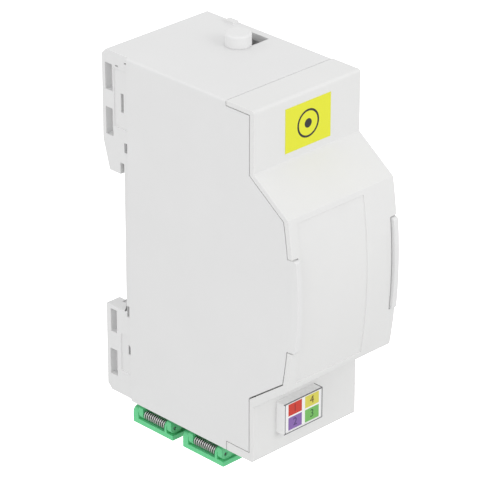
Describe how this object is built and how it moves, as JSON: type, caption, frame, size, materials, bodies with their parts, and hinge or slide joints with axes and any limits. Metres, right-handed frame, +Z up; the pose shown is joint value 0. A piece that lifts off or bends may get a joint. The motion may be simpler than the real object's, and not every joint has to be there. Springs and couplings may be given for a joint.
{
  "type": "din rail fibre box",
  "caption": "Two-module fibre termination box for a DIN rail, with a stepped snap-off front, a sprung rail latch and shuttered SC couplers that point down.",
  "frame": {"origin": "middle of the rail seat, the flat back face that lies on the rail's front plane", "axes": "+Z up, +Y to the back into the rail, +X to the right seen from the front"},
  "size_m": [0.036, 0.068, 0.1049],
  "materials": {
    "shell": "light grey, finely textured moulding",
    "latch": "light grey moulding",
    "coupler": "green moulding, satin",
    "plate": "black moulding",
    "tray": "grey moulding",
    "comb": "white moulding",
    "ceramic": "polished white ceramic",
    "steel": "bright spring steel",
    "sticker": "yellow printed foil",
    "card": "white printed card"
  },
  "bodies": {
    "box": {"housing": "shell", "latch_spring": "steel", "adapter_plate": "plate", "sc_coupler_1": "coupler", "coupler_sleeve_1": "ceramic", "coupler_clip_1": "steel", "flap_pin_1": "steel", "sc_coupler_2": "coupler", "coupler_sleeve_2": "ceramic", "coupler_clip_2": "steel", "flap_pin_2": "steel", "sc_coupler_3": "coupler", "coupler_sleeve_3": "ceramic", "coupler_clip_3": "steel", "flap_pin_3": "steel", "sc_coupler_4": "coupler", "coupler_sleeve_4": "ceramic", "coupler_clip_4": "steel", "flap_pin_4": "steel", "splice_tray": "tray", "splice_comb": "comb", "tray_screws": "steel", "cable_clamp": "tray", "clamp_screws": "steel", "entry_plug": "shell"},
    "cover": {"front_cover": "shell", "front_sticker": "sticker", "label_holder": "shell", "port_label": "card"},
    "latch": {"rail_latch": "latch"},
    "flap_1": {"coupler_flap_1": "coupler", "flap_spring_1": "steel"},
    "flap_2": {"coupler_flap_2": "coupler", "flap_spring_2": "steel"},
    "flap_3": {"coupler_flap_3": "coupler", "flap_spring_3": "steel"},
    "flap_4": {"coupler_flap_4": "coupler", "flap_spring_4": "steel"}
  },
  "joints": [
    {"name": "cover_pull", "type": "slide", "parent": "box", "child": "cover", "axis": [0, -1, 0], "range_m": [0, 0.028]},
    {"name": "latch_slide", "type": "slide", "parent": "box", "child": "latch", "axis": [0, 0, -1], "range_m": [0, 0.004], "stiffness_N_per_m": 500, "springref_m": -0.004, "deforming": ["latch_spring"]},
    {"name": "flap_1_hinge", "type": "hinge", "parent": "box", "child": "flap_1", "pos_m": [-0.0143, -0.0077, -0.0519], "axis": [0, 1, 0], "range_deg": [0, 90], "stiffness_Nm_per_rad": 0.0004, "springref_deg": -28.65},
    {"name": "flap_2_hinge", "type": "hinge", "parent": "box", "child": "flap_2", "pos_m": [-0.0143, -0.026, -0.0519], "axis": [0, 1, 0], "range_deg": [0, 90], "stiffness_Nm_per_rad": 0.0004, "springref_deg": -28.65},
    {"name": "flap_3_hinge", "type": "hinge", "parent": "box", "child": "flap_3", "pos_m": [0.0143, -0.026, -0.0519], "axis": [0, -1, 0], "range_deg": [0, 90], "stiffness_Nm_per_rad": 0.0004, "springref_deg": -28.65},
    {"name": "flap_4_hinge", "type": "hinge", "parent": "box", "child": "flap_4", "pos_m": [0.0143, -0.0077, -0.0519], "axis": [0, -1, 0], "range_deg": [0, 90], "stiffness_Nm_per_rad": 0.0004, "springref_deg": -28.65}
  ]
}
